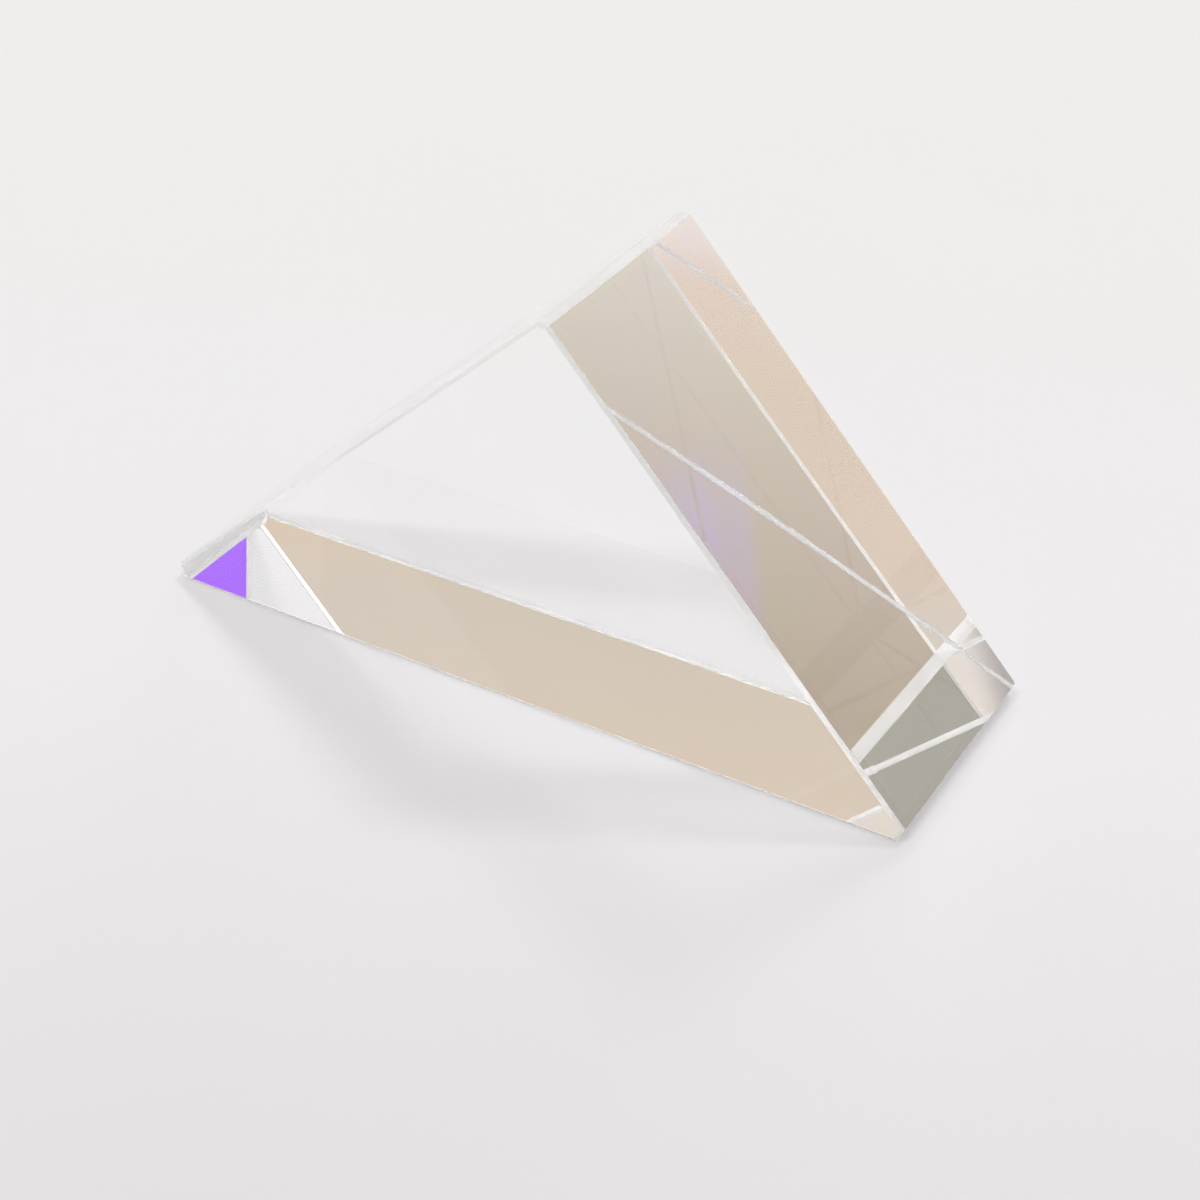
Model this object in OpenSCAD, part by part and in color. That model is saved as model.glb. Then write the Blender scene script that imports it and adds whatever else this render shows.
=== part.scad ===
// Right-angle glass prism, lying on the wide face opposite its right angle.
// Millimetres. The origin is the centre of that wide face, +X runs along it from one sharp
// edge to the other, +Y runs along the prism's length and +Z points up to the right-angle ridge.

/* [Glass] */
// Width of each leg face, from the right-angle ridge to the sharp edge, before bevelling
leg_w = 25; // [12:0.5:50]
// Length of the prism along its ridge, between the two triangular ends
prism_len = 12; // [6:0.5:50]
// Angle between the two leg faces, in degrees
ridge_angle = 90; // [60:1:110]

/* [Bevels] */
// Width of the flat ground along the right-angle ridge
ridge_bevel = 0.5; // [0.1:0.05:1.5]
// Width of the flat ground along each 45 degree edge
toe_bevel = 0.7; // [0.1:0.05:1.5]
// Width of the flats ground round both triangular ends
end_bevel = 0.2; // [0.05:0.05:0.6]

/* [Coating] */
// Thickness of the anti-reflection film on each leg face, drawn far thicker than a real film
film_t = 0.02; // [0.01:0.005:0.05]
// Bare border that the coating holder leaves between the film and the bevels
film_border = 0.4; // [0.1:0.1:1.5]

/* [Hidden] */
// The two equal angles at the sharp edges, called toes here
toe_angle = (180 - ridge_angle) / 2;

// Width of the wide face, and height of the ridge above it, before bevelling
wide_w = 2 * leg_w * cos(toe_angle);
ridge_h = leg_w * sin(toe_angle);

// How far each bevel reaches in from its edge, measured along the faces that it joins
ridge_inset = ridge_bevel / (2 * sin(ridge_angle / 2));
toe_inset = toe_bevel / (2 * sin(toe_angle / 2));
end_inset = end_bevel / sqrt(2);

// Distance of each long face from the origin, square to the face
leg_reach = wide_w / 2 * sin(toe_angle);
ridge_reach = ridge_h - ridge_inset * sin(toe_angle);
toe_reach = (wide_w / 2 - toe_inset) * cos(toe_angle / 2);

// The six long faces: how far each one is turned from +Z about +Y, and its distance
LONG_FACES = [
    [180, 0],
    [toe_angle, leg_reach],
    [-toe_angle, leg_reach],
    [0, ridge_reach],
    [90 + toe_angle / 2, toe_reach],
    [-90 - toe_angle / 2, toe_reach]
];

// Bar that grinds an end bevel: longer than any edge, and wider than the flat
grind_l = 2 * wide_w;
grind_w = 4 * end_bevel;

// Cross section: the right-angled triangle with a flat on each of its corners
module section() {
    toe_x = wide_w / 2 - toe_inset * cos(toe_angle);
    toe_z = toe_inset * sin(toe_angle);
    flat_x = ridge_inset * cos(toe_angle);
    polygon([
        [-wide_w / 2 + toe_inset, 0],
        [wide_w / 2 - toe_inset, 0],
        [toe_x, toe_z],
        [flat_x, ridge_reach],
        [-flat_x, ridge_reach],
        [-toe_x, toe_z]
    ]);
}

// Bar that bevels the edge between the +Y end and the long face at this turn and distance
module end_grind(turn, reach) {
    rotate([0, turn, 0])
        translate([0, prism_len / 2, reach])
            rotate([-45, 0, 0])
                translate([-grind_l / 2, -grind_w / 2, -end_bevel / 2])
                    cube([grind_l, grind_w, grind_w]);
}

// One block of optical crown glass: five polished faces, and a ground flat on every edge
module prism_body() {
    color([0.92, 0.93, 0.93, 0.5])
        difference() {
            rotate([90, 0, 0])
                linear_extrude(prism_len, center = true) section();
            for (end = [0, 180])
                rotate([0, 0, end])
                    for (face = LONG_FACES)
                        end_grind(face[0], face[1]);
        }
}

// Film on the leg face that slopes down to +X, flat on the glass inside its bare border
module leg_film() {
    toe = leg_reach / tan(toe_angle);
    top = toe - leg_w + ridge_inset + film_border;
    bottom = toe - toe_inset - film_border;
    film_l = prism_len - 2 * (end_inset + film_border);
    rotate([0, toe_angle, 0])
        translate([top, -film_l / 2, leg_reach])
            cube([bottom - top, film_l, film_t]);
}

module right_leg_film() {
    color([0.78, 0.71, 0.86, 0.4]) leg_film();
}

module left_leg_film() {
    color([0.78, 0.71, 0.86, 0.4]) mirror([1, 0, 0]) leg_film();
}

prism_body();
left_leg_film();
right_leg_film();
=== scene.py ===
"""Looks of a right-angle glass prism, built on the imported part's frame.

Metres, in the part's own frame: the origin is the centre of the wide face that the prism lies on,
+X runs along that face, +Y along the prism's length and +Z up to the right-angle ridge.
"""

import math
import random

import bmesh
import bpy
from bpy.props import FloatProperty, FloatVectorProperty, PointerProperty
from mathutils import Matrix, Vector


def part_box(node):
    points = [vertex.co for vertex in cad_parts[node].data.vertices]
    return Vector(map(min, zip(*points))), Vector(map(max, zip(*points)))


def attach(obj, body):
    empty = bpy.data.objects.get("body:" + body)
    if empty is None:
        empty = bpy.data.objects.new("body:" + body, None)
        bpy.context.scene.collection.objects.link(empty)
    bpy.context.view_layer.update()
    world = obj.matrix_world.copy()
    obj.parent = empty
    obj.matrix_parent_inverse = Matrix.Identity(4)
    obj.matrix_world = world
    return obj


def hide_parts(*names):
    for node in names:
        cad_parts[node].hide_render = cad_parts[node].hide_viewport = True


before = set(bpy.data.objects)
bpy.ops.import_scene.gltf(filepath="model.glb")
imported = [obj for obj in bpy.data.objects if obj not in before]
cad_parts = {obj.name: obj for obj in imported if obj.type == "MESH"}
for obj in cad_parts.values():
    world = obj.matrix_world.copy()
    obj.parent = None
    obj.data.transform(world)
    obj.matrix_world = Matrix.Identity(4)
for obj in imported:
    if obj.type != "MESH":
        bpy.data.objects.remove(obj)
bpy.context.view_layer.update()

bl_info = {
    "name": "Glass Prism",
    "version": (1, 0, 0),
    "blender": (4, 5, 0),
    "location": "3D View > Sidebar > Prism",
    "description": "Dresses the packed right-angle prism in polished and ground glass",
    "category": "Object",
}

MM = 0.001

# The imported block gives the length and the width. The flats are as wide as those ground on it.
BLOCK_LOW, BLOCK_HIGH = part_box("prism_body")
RIDGE_BEVEL = 0.5 * MM
TOE_BEVEL = 0.7 * MM
END_BEVEL = 0.2 * MM
TOE_ANGLE = math.radians(45)
CROWN_GLASS_IOR = 1.5168
NICK_SEED = 5

# The floor, in metres, and the way across it from the camera
FLOOR_HALF_WIDTH = 2.0
FLOOR_GAP = 0.01 * MM
AWAY = (-0.44, 0.898, 0.0)

# The white parts of the room, and the bright pane in it: the way to its middle and its light
ROOM_WHITE = "#fbfaf8"
PANE_AIM = (-0.160, 0.953, 0.259)
PANE_LIGHT = (3.2, 3.1, 2.95)

# The cards stand above this point of the floor, and face the prism from there.
CARD_FOOT = Vector((160 * MM, 221 * MM, 0.0))
CARD_ACROSS = Vector((0.819, -0.574, 0.0))
UP = Vector((0.0, 0.0, 1.0))

# How far off each lamp stands, in metres
LAMP_DISTANCE = 1.5


def linear(hex_colour):
    """Scene-linear RGB of an sRGB hex colour such as #d8cbbf."""
    channels = [int(hex_colour[i:i + 2], 16) / 255 for i in (1, 3, 5)]
    return tuple(c / 12.92 if c <= 0.04045 else ((c + 0.055) / 1.055) ** 2.4 for c in channels)


def add_node(tree, kind, inputs=None, stops=None, **settings):
    """Adds a node with its settings, sets or links its inputs, and gives a ramp its stops."""
    node = tree.nodes.new(kind)
    for key, value in settings.items():
        setattr(node, key, value)
    for key, value in (inputs or {}).items():
        socket = node.inputs[key]
        if isinstance(value, bpy.types.NodeSocket):
            tree.links.new(value, socket)
        elif socket.type == "RGBA":
            socket.default_value = (*value[:3], 1.0)
        else:
            socket.default_value = value
    for i, (position, colour) in enumerate(stops or ()):
        elements = node.color_ramp.elements
        element = elements[i] if i < len(elements) else elements.new(1.0)
        element.position = position
        element.color = (*(linear(colour) if isinstance(colour, str) else colour), 1.0)
    return node


def new_material(name):
    """An empty node material and its tree."""
    material = bpy.data.materials.new(name)
    material.use_nodes = True
    material.node_tree.nodes.clear()
    return material, material.node_tree


def add_object(scene, name, bm, *materials):
    """Turns a bmesh into an object of the scene."""
    mesh = bpy.data.meshes.new(name)
    bm.to_mesh(mesh)
    bm.free()
    for material in materials:
        mesh.materials.append(material)
    obj = bpy.data.objects.new(name, mesh)
    scene.collection.objects.link(obj)
    return obj


class PrismGlassSettings(bpy.types.PropertyGroup):
    """Sizes and colours of the glass block."""

    length: FloatProperty(
        name="Length", description="Length of the prism along its ridge",
        default=BLOCK_HIGH.y - BLOCK_LOW.y, unit="LENGTH")
    toe_reach: FloatProperty(
        name="Toe reach",
        description="Distance from the middle of the wide face to the foot of a leg face",
        default=BLOCK_HIGH.x, unit="LENGTH")
    ridge_bevel: FloatProperty(
        name="Ridge bevel", description="Width of the flat ground along the right-angle ridge",
        default=RIDGE_BEVEL, unit="LENGTH")
    toe_bevel: FloatProperty(
        name="Toe bevel", description="Width of the flat ground along each 45 degree edge",
        default=TOE_BEVEL, unit="LENGTH")
    end_bevel: FloatProperty(
        name="End bevel", description="Width of the flats ground round both triangular ends",
        default=END_BEVEL, unit="LENGTH")
    nick_spacing: FloatProperty(
        name="Nick spacing", description="Length of edge to each nick that handling has left",
        default=14 * MM, unit="LENGTH")
    nick_size: FloatProperty(
        name="Nick size", description="Width of the largest nicks",
        default=0.15 * MM, unit="LENGTH")
    film_gap: FloatProperty(
        name="Film gap",
        description="How far the leg faces lie under their films, so that the two never coincide",
        default=0.005 * MM, unit="LENGTH")
    glass_colour: FloatVectorProperty(
        name="Glass colour", description="Tint of the clear crown glass",
        default=linear("#ffffff"), subtype="COLOR", min=0, max=1)
    ground_colour: FloatVectorProperty(
        name="Ground colour", description="Tint of the ground bevels",
        default=linear("#f8f8f6"), subtype="COLOR", min=0, max=1)


class PrismFilmSettings(bpy.types.PropertyGroup):
    """Colours of the anti-reflection films."""

    bloom_lilac: FloatVectorProperty(
        name="Lilac bloom", description="Sheen where the film is thickest",
        default=linear("#c9b4e6"), subtype="COLOR", min=0, max=1)
    bloom_green: FloatVectorProperty(
        name="Green bloom", description="Sheen where the film is thinnest",
        default=linear("#c8cdb6"), subtype="COLOR", min=0, max=1)


class PrismStageSettings(bpy.types.PropertyGroup):
    """Camera, floor and light."""

    camera_place: FloatVectorProperty(
        name="Camera", description="Where the camera stands",
        default=(42.80 * MM, -86.66 * MM, 65.35 * MM), subtype="TRANSLATION")
    camera_target: FloatVectorProperty(
        name="Target", description="The point that the camera looks at",
        default=(-0.92 * MM, 2.57 * MM, 0.0), subtype="TRANSLATION")
    camera_roll: FloatProperty(
        name="Roll", description="Turn of the camera about its own line of sight",
        default=math.radians(4.278), subtype="ANGLE")
    camera_lens: FloatProperty(
        name="Lens", description="Focal length on a 36 mm sensor", default=82.19, unit="CAMERA")
    # The near floor colour is darker than the rest: painted shade towards the camera.
    floor_near_painted_shade: FloatVectorProperty(
        name="Floor, near", description="Colour of the pale floor in front of the prism",
        default=linear("#e4e2e3"), subtype="COLOR", min=0, max=1)
    floor_mid: FloatVectorProperty(
        name="Floor, middle", description="Colour of the pale floor round the prism",
        default=linear("#efedee"), subtype="COLOR", min=0, max=1)
    floor_far: FloatVectorProperty(
        name="Floor, far", description="Colour of the pale floor behind the prism",
        default=linear("#efeeec"), subtype="COLOR", min=0, max=1)
    ambient: FloatProperty(
        name="Ambient", description="Level of the even light from all round", default=0.684)
    lamp_size: FloatProperty(
        name="Lamp size", description="Width of each lamp, which softens its shadow",
        default=240 * MM, unit="LENGTH")


# Glass

def crown_glass(settings):
    # Crown glass, pitch polished: colourless and clear, with sharp reflections. All that shows of
    # the surface is a breath of wipe marks, which soften a reflection without dulling it.
    material, tree = new_material("polished_crown_glass")
    place = add_node(tree, "ShaderNodeTexCoord").outputs["Object"]
    wipes = add_node(tree, "ShaderNodeTexNoise", {
        "Vector": place, "Scale": 1 / (6 * MM),
        "Detail": 3.0, "Roughness": 0.6, "Distortion": 1.5})
    haze = add_node(tree, "ShaderNodeMapRange", {
        "Value": wipes.outputs["Fac"], "From Min": 0.45, "From Max": 0.75,
        "To Min": 0.0, "To Max": 0.04})
    shader = add_node(tree, "ShaderNodeBsdfPrincipled", {
        "Base Color": settings.glass_colour, "Roughness": haze.outputs["Result"],
        "IOR": CROWN_GLASS_IOR, "Transmission Weight": 1.0})
    add_node(tree, "ShaderNodeOutputMaterial", {"Surface": shader.outputs["BSDF"]})
    return material


def ground_glass(settings):
    # The same glass ground with fine grit and left unpolished: a frosted white that scatters light.
    # The grit's pits of about 0.01 mm are drawn at 0.06 mm, the finest that shows at this scale.
    material, tree = new_material("ground_crown_glass")
    place = add_node(tree, "ShaderNodeTexCoord").outputs["Object"]
    grit = add_node(tree, "ShaderNodeTexNoise", {
        "Vector": place, "Scale": 1 / (0.06 * MM), "Detail": 2.0, "Roughness": 0.7})
    frost = add_node(tree, "ShaderNodeMapRange", {
        "Value": grit.outputs["Fac"], "From Min": 0.3, "From Max": 0.7,
        "To Min": 0.6, "To Max": 0.8})
    pits = add_node(tree, "ShaderNodeBump", {
        "Height": grit.outputs["Fac"], "Strength": 0.1, "Distance": 0.01 * MM})
    shader = add_node(tree, "ShaderNodeBsdfPrincipled", {
        "Base Color": settings.ground_colour, "Roughness": frost.outputs["Result"],
        "Normal": pits.outputs["Normal"], "IOR": CROWN_GLASS_IOR, "Transmission Weight": 0.5})
    add_node(tree, "ShaderNodeOutputMaterial", {"Surface": shader.outputs["BSDF"]})
    return material


def bevel_edges(bm, edges, offset):
    """Grinds one flat along each of the edges."""
    bmesh.ops.bevel(
        bm, geom=edges, offset=offset, offset_type="OFFSET", segments=1, profile=0.5,
        affect="EDGES", material=-1, clamp_overlap=True)


def nick_edges(bm, spacing, size):
    """Chips the edges where ground and polished faces meet. A nick is a notch in the polished face,
    within its plane, that the ground face fills."""
    draw = random.Random(NICK_SEED)
    rims = [e for e in bm.edges if {f.material_index for f in e.link_faces} == {0, 1}]
    for rim in rims:
        length = rim.calc_length()
        start, end = rim.verts
        polished = min(rim.link_faces, key=lambda f: f.material_index)
        inwards = polished.normal.cross(end.co - start.co).normalized()
        if inwards.dot(polished.calc_center_median() - start.co) < 0:
            inwards.negate()
        count = int(length / spacing + draw.random())
        done = 0.0
        for i in range(count):
            half = size / 2 * (0.25 + 0.75 * draw.random() ** 2)
            middle = length * (i + draw.uniform(0.2, 0.8)) / count
            deepest = half * draw.uniform(0.4, 0.8)
            for stop, depth in ((middle - half, 0), (middle, deepest), (middle + half, 0)):
                start = bmesh.utils.edge_split(rim, start, (stop - done) / (length - done))[1]
                start.co += inwards * depth
                done = stop


class PRISM_OT_glass_block(bpy.types.Operator):
    """Makes the block of glass, with its polished faces, ground bevels and nicked edges"""

    bl_idname = "prism.glass_block"
    bl_label = "Glass block"

    def execute(self, context):
        s = context.scene.prism_glass
        ridge_inset = s.ridge_bevel / math.sqrt(2)
        toe_inset = s.toe_bevel / (2 * math.sin(TOE_ANGLE / 2))
        end_inset = s.end_bevel / math.sqrt(2)
        half_wide = s.toe_reach + toe_inset * math.cos(TOE_ANGLE) - s.film_gap * math.sqrt(2)

        bm = bmesh.new()
        corners = [bm.verts.new((x, -s.length / 2, z))
                   for x, z in ((-half_wide, 0), (half_wide, 0), (0, half_wide))]
        section = bm.faces.new(corners)
        moved = bmesh.ops.extrude_face_region(bm, geom=[section])["geom"]
        far_corners = [g for g in moved if isinstance(g, bmesh.types.BMVert)]
        bmesh.ops.translate(bm, verts=far_corners, vec=(0, s.length, 0))
        bmesh.ops.recalc_face_normals(bm, faces=bm.faces)

        def is_long(edge):
            return abs(edge.verts[0].co.y - edge.verts[1].co.y) > s.length / 2

        ridge = [e for e in bm.edges if is_long(e) and e.verts[0].co.z > half_wide / 2]
        bevel_edges(bm, ridge, ridge_inset)
        toes = [e for e in bm.edges if is_long(e) and e.verts[0].co.z < half_wide / 2]
        bevel_edges(bm, toes, toe_inset)
        rims = [e for e in bm.edges if not is_long(e)]
        bevel_edges(bm, rims, end_inset)
        bmesh.ops.recalc_face_normals(bm, faces=bm.faces)

        slope = math.sqrt(0.5)
        polished = [Vector(n) for n in (
            (0, 0, -1), (slope, 0, slope), (-slope, 0, slope), (0, 1, 0), (0, -1, 0))]
        nearly_square = 0.999
        for face in bm.faces:
            is_polished = max(face.normal.dot(n) for n in polished) > nearly_square
            face.material_index = 0 if is_polished else 1
            face.smooth = False
        nick_edges(bm, s.nick_spacing, s.nick_size)

        block = add_object(context.scene, "prism_glass", bm, crown_glass(s), ground_glass(s))
        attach(block, "root")
        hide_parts("prism_body")
        return {"FINISHED"}


# Films

def bloom_film(settings):
    # Vacuum-deposited film, a fraction of a wavelength thick: it can't be seen but for a faint
    # bloom, which goes from lilac to green and back within some 12 mm as the thickness drifts. Where
    # the face is seen edge-on, the bloom is lost in the white of the reflection.
    bloom_share = 0.02
    material, tree = new_material("antireflection_film")
    place = add_node(tree, "ShaderNodeTexCoord").outputs["Object"]
    drift = add_node(tree, "ShaderNodeTexNoise", {
        "Vector": place, "Scale": 1 / (12 * MM), "Detail": 1.0, "Roughness": 0.4})
    bloom = add_node(tree, "ShaderNodeValToRGB", {"Fac": drift.outputs["Fac"]},
                     stops=[(0.35, settings.bloom_lilac), (0.65, settings.bloom_green)])
    tilt = add_node(tree, "ShaderNodeLayerWeight", {"Blend": 0.5})
    edge_on = add_node(tree, "ShaderNodeMapRange", {
        "Value": tilt.outputs["Facing"], "From Min": 0.8, "From Max": 0.95})
    sheen = add_node(tree, "ShaderNodeMixRGB", {
        0: edge_on.outputs["Result"], 1: bloom.outputs["Color"], 2: linear("#ffffff")})
    gloss = add_node(tree, "ShaderNodeBsdfGlossy", {
        "Color": sheen.outputs["Color"], "Roughness": 0.02})
    clear = add_node(tree, "ShaderNodeBsdfTransparent")
    film = add_node(tree, "ShaderNodeMixShader", {
        0: bloom_share, 1: clear.outputs["BSDF"], 2: gloss.outputs["BSDF"]})
    add_node(tree, "ShaderNodeOutputMaterial", {"Surface": film.outputs["Shader"]})
    return material


class PRISM_OT_leg_films(bpy.types.Operator):
    """Gives the films on both leg faces their faint bloom"""

    bl_idname = "prism.leg_films"
    bl_label = "Leg films"

    def execute(self, context):
        material = bloom_film(context.scene.prism_film)
        for name in ("left_leg_film", "right_leg_film"):
            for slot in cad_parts[name].material_slots:
                slot.material = material
        return {"FINISHED"}


# Stage

def paper(settings):
    # Matt white paper, warmer far off, with a faint cloudiness of some 25 mm. Its colour is painted
    # darker towards the camera: painted shade standing in for the shadow that falls on the near part
    # of the sheet.
    material, tree = new_material("pale_paper")
    place = add_node(tree, "ShaderNodeTexCoord").outputs["Object"]
    away = add_node(tree, "ShaderNodeVectorMath", {0: place, 1: AWAY}, operation="DOT_PRODUCT")
    depth = add_node(tree, "ShaderNodeMapRange", {
        "Value": away.outputs["Value"], "From Min": -40 * MM, "From Max": 40 * MM})
    # The ramp paints shade into the floor's colour: darker towards the camera, lighter round and
    # behind the prism.
    tone = add_node(tree, "ShaderNodeValToRGB", {"Fac": depth.outputs["Result"]},
                    stops=[(0.0, settings.floor_near_painted_shade), (0.46, settings.floor_mid),
                           (0.69, settings.floor_mid), (1.0, settings.floor_far)])
    cloud = add_node(tree, "ShaderNodeTexNoise", {
        "Vector": place, "Scale": 1 / (25 * MM), "Detail": 4.0, "Roughness": 0.6})
    shade = add_node(tree, "ShaderNodeMapRange", {
        "Value": cloud.outputs["Fac"], "To Min": 0.99, "To Max": 1.01})
    sheet = add_node(tree, "ShaderNodeHueSaturation", {
        "Color": tone.outputs["Color"], "Value": shade.outputs["Result"]})
    shader = add_node(tree, "ShaderNodeBsdfDiffuse", {"Color": sheet.outputs["Color"]})
    add_node(tree, "ShaderNodeOutputMaterial", {"Surface": shader.outputs["BSDF"]})
    return material


def room_light(scene, settings):
    # What the glass shows: to the left a warm wall, with a darker room in front of it, white to the
    # right and overhead, and a bright soft pane low behind. Rays that have met the floor see an even
    # white instead, so the floor stays neutral.
    world = bpy.data.worlds.new("room")
    world.use_nodes = True
    tree = world.node_tree
    tree.nodes.clear()
    ray = add_node(tree, "ShaderNodeTexCoord").outputs["Generated"]
    axes = add_node(tree, "ShaderNodeSeparateXYZ", {"Vector": ray}).outputs
    slant = add_node(tree, "ShaderNodeMapRange", {
        "Value": axes["X"], "From Min": -0.58, "From Max": -0.536,
        "To Min": 0.017, "To Max": -0.017})
    height = add_node(tree, "ShaderNodeMath", {
        0: axes["Z"], 1: slant.outputs["Result"]}, operation="ADD")
    back = add_node(tree, "ShaderNodeValToRGB", {"Fac": height.outputs["Value"]}, stops=[
        (0.0, "#9c958f"), (0.2275, "#a19a94"), (0.2370, "#e4dacf"), (0.415, "#e9dcd5"),
        (0.429, "#dfccb7"), (0.465, "#d8c4ad"), (0.512, "#d9c4ac"), (0.534, "#d3c7b9"),
        (0.583, "#dac9b6"), (0.703, ROOM_WHITE)])
    front = add_node(tree, "ShaderNodeValToRGB", {"Fac": axes["Z"]}, stops=[
        (0.0, "#958f83"), (0.25, "#9b9687"), (0.44, "#d6cebe"), (0.50, "#c4b6a3"),
        (0.58, "#ac9981"), (0.72, ROOM_WHITE)])
    side = add_node(tree, "ShaderNodeMapRange", {
        "Value": axes["Y"], "From Min": -0.35, "From Max": 0.35}, interpolation_type="SMOOTHSTEP")
    left = add_node(tree, "ShaderNodeMixRGB", {
        0: side.outputs["Result"], 1: front.outputs["Color"], 2: back.outputs["Color"]})
    turn = add_node(tree, "ShaderNodeMapRange", {
        "Value": axes["X"], "From Min": -0.22, "From Max": -0.05}, interpolation_type="SMOOTHSTEP")
    walls = add_node(tree, "ShaderNodeMixRGB", {
        0: turn.outputs["Result"], 1: left.outputs["Color"], 2: linear(ROOM_WHITE)})
    aim = add_node(tree, "ShaderNodeVectorMath", {0: ray, 1: PANE_AIM}, operation="DOT_PRODUCT")
    pane = add_node(tree, "ShaderNodeMapRange", {
        "Value": aim.outputs["Value"], "From Min": 0.965, "From Max": 0.990},
        interpolation_type="SMOOTHSTEP")
    room = add_node(tree, "ShaderNodeMixRGB", {
        0: pane.outputs["Result"], 1: walls.outputs["Color"], 2: PANE_LIGHT})
    path = add_node(tree, "ShaderNodeLightPath").outputs
    seen = add_node(tree, "ShaderNodeMixRGB", {
        0: path["Is Camera Ray"], 1: room.outputs["Color"], 2: settings.floor_far})
    lit = add_node(tree, "ShaderNodeMath", {
        0: path["Diffuse Depth"], 1: 0.5}, operation="GREATER_THAN")
    light = add_node(tree, "ShaderNodeMixRGB", {
        0: lit.outputs["Value"], 1: seen.outputs["Color"], 2: (settings.ambient,) * 3})
    glow = add_node(tree, "ShaderNodeBackground", {
        "Color": light.outputs["Color"], "Strength": 1.0})
    add_node(tree, "ShaderNodeOutputWorld", {"Surface": glow.outputs["Background"]})
    scene.world = world


def soft_card(scene, name, colour, strength, lean, left, right, low, high):
    """A glowing card hidden from the camera and from shadows, 0.3 m away beyond the far right
    corner. Each edge is
    a pair in millimetres: its place across or up from the point on the floor below the card, turned
    by the card's lean, and the width that it fades in over."""
    along = CARD_ACROSS * math.cos(lean) - UP * math.sin(lean)
    rise = CARD_ACROSS * math.sin(lean) + UP * math.cos(lean)

    material, tree = new_material(name)
    place = add_node(tree, "ShaderNodeTexCoord").outputs["Object"]
    spot = add_node(tree, "ShaderNodeVectorMath", {0: place, 1: CARD_FOOT}, operation="SUBTRACT")

    def fade(axis, edge, inwards):
        start, width = edge
        full = start + inwards * width
        reach = add_node(tree, "ShaderNodeVectorMath", {
            0: spot.outputs["Vector"], 1: axis}, operation="DOT_PRODUCT")
        return add_node(tree, "ShaderNodeMapRange", {
            "Value": reach.outputs["Value"], "From Min": start * MM, "From Max": full * MM},
            interpolation_type="SMOOTHSTEP").outputs["Result"]

    wide = add_node(tree, "ShaderNodeMath", {
        0: fade(along, left, 1), 1: fade(along, right, -1)}, operation="MULTIPLY")
    tall = add_node(tree, "ShaderNodeMath", {
        0: fade(rise, low, 1), 1: fade(rise, high, -1)}, operation="MULTIPLY")
    cover = add_node(tree, "ShaderNodeMath", {
        0: wide.outputs["Value"], 1: tall.outputs["Value"]}, operation="MULTIPLY")
    glow = add_node(tree, "ShaderNodeEmission", {"Color": colour, "Strength": strength})
    clear = add_node(tree, "ShaderNodeBsdfTransparent")
    surface = add_node(tree, "ShaderNodeMixShader", {
        0: cover.outputs["Value"], 1: clear.outputs["BSDF"], 2: glow.outputs["Emission"]})
    add_node(tree, "ShaderNodeOutputMaterial", {"Surface": surface.outputs["Shader"]})

    middle = CARD_FOOT + (along * (left[0] + right[0]) + rise * (low[0] + high[0])) * (MM / 2)
    turn = Matrix((along, rise, along.cross(rise))).transposed().to_4x4()
    size = Matrix.Diagonal(((right[0] - left[0]) * MM, (high[0] - low[0]) * MM, 1, 1))
    bm = bmesh.new()
    bmesh.ops.create_grid(bm, x_segments=1, y_segments=1, size=0.5)
    bmesh.ops.transform(bm, matrix=Matrix.Translation(middle) @ turn @ size, verts=bm.verts)
    card = add_object(scene, name, bm, material)
    card.visible_camera = card.visible_shadow = False


def add_lamp(scene, name, azimuth, elevation, share, size):
    """A round lamp that adds this share of a full light level to the floor. Both angles are in
    degrees, the azimuth turned from +Y towards +X."""
    azimuth, elevation = math.radians(azimuth), math.radians(elevation)
    towards = Vector((math.cos(elevation) * math.sin(azimuth),
                      math.cos(elevation) * math.cos(azimuth), math.sin(elevation)))
    data = bpy.data.lights.new(name, "AREA")
    data.shape = "DISK"
    data.size = size
    data.energy = share * (math.pi * LAMP_DISTANCE) ** 2 / math.sin(elevation)
    lamp = bpy.data.objects.new(name, data)
    scene.collection.objects.link(lamp)
    lamp.location = towards * LAMP_DISTANCE
    lamp.rotation_euler = towards.to_track_quat("Z", "Y").to_euler()
    lamp.visible_camera = False


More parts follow.
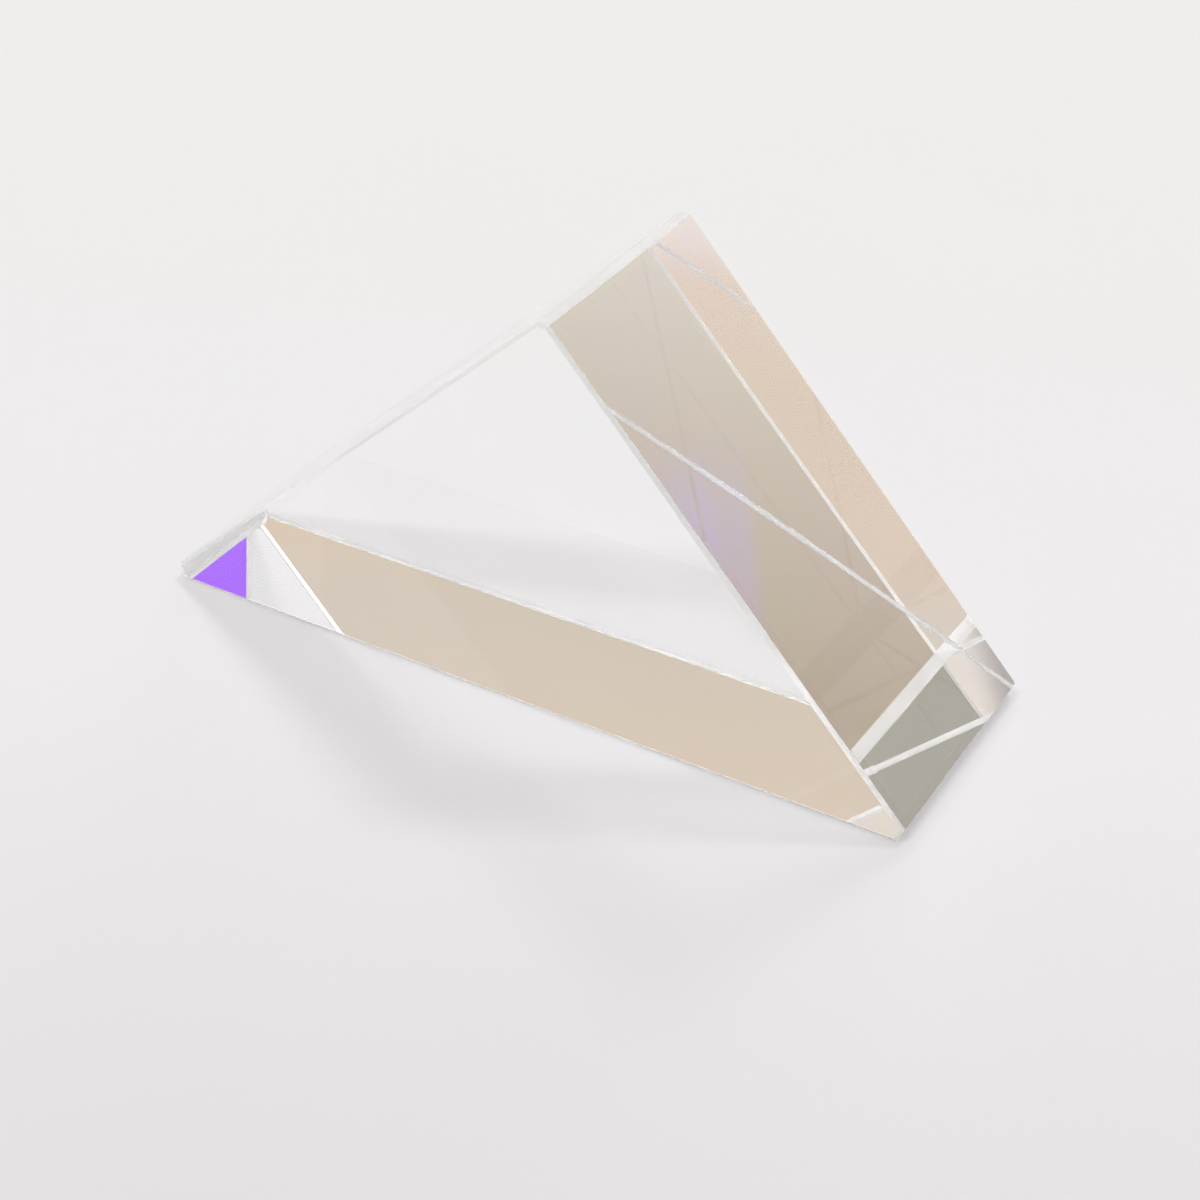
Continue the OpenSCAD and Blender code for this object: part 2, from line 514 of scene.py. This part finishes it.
class PRISM_OT_stage(bpy.types.Operator):
    """Sets the floor, the light and the camera"""

    bl_idname = "prism.stage"
    bl_label = "Stage"

    def execute(self, context):
        scene = context.scene
        s = scene.prism_stage

        bm = bmesh.new()
        bmesh.ops.create_grid(bm, x_segments=1, y_segments=1, size=FLOOR_HALF_WIDTH)
        bmesh.ops.translate(bm, verts=bm.verts, vec=(0, 0, BLOCK_LOW.z - FLOOR_GAP))
        add_object(scene, "floor", bm, paper(s))

        room_light(scene, s)
        # The glass mirrors a violet card into its sharp corner, and a paler one off a leg face.
        soft_card(scene, "violet_card", linear("#a558ff"), 1.0, 0.0,
                  left=(-18, 6), right=(10, 6), low=(141, 6), high=(168, 6))
        soft_card(scene, "pale_violet_card", linear("#afabff"), 2.3, math.radians(26.6),
                  left=(-66, 20), right=(-14, 3), low=(89.5, 3), high=(118, 26))
        add_lamp(scene, "back_lamp", 4, 61, 0.112, s.lamp_size)
        add_lamp(scene, "left_lamp", -43, 43, 0.050, s.lamp_size)
        add_lamp(scene, "front_lamp", -154, 62, 0.118, s.lamp_size)

        data = bpy.data.cameras.new("camera")
        data.lens = s.camera_lens
        data.sensor_width = 36
        data.clip_start = 5 * MM
        camera = bpy.data.objects.new("camera", data)
        scene.collection.objects.link(camera)
        place = Vector(s.camera_place)
        look = (Vector(s.camera_target) - place).to_track_quat("-Z", "Y").to_matrix().to_4x4()
        roll = Matrix.Rotation(s.camera_roll, 4, "Z")
        camera.matrix_world = Matrix.Translation(place) @ look @ roll
        scene.camera = camera

        scene.view_settings.view_transform = "Standard"
        # Light is mirrored many times inside the glass, and falls through it without blurring.
        scene.cycles.max_bounces = 24
        scene.cycles.glossy_bounces = 16
        scene.cycles.transmission_bounces = 24
        scene.cycles.transparent_max_bounces = 24
        scene.cycles.blur_glossy = 0.0
        scene.cycles.sample_clamp_indirect = 0.0
        return {"FINISHED"}


class PRISM_PT_sidebar(bpy.types.Panel):
    """Lists the pieces and the stage"""

    bl_label = "Glass Prism"
    bl_idname = "PRISM_PT_sidebar"
    bl_space_type = "VIEW_3D"
    bl_region_type = "UI"
    bl_category = "Prism"

    def draw(self, context):
        for operator in OPERATORS:
            self.layout.operator(operator.bl_idname)


OPERATORS = (PRISM_OT_glass_block, PRISM_OT_leg_films, PRISM_OT_stage)
SETTINGS = {
    "prism_glass": PrismGlassSettings,
    "prism_film": PrismFilmSettings,
    "prism_stage": PrismStageSettings,
}


def register():
    for cls in (*SETTINGS.values(), *OPERATORS, PRISM_PT_sidebar):
        bpy.utils.register_class(cls)
    for name, group in SETTINGS.items():
        setattr(bpy.types.Scene, name, PointerProperty(type=group))


def unregister():
    for name in SETTINGS:
        delattr(bpy.types.Scene, name)
    for cls in (PRISM_PT_sidebar, *OPERATORS, *SETTINGS.values()):
        bpy.utils.unregister_class(cls)


def main():
    register()
    bpy.ops.prism.glass_block()
    bpy.ops.prism.leg_films()
    bpy.ops.prism.stage()


if __name__ == "__main__":
    main()
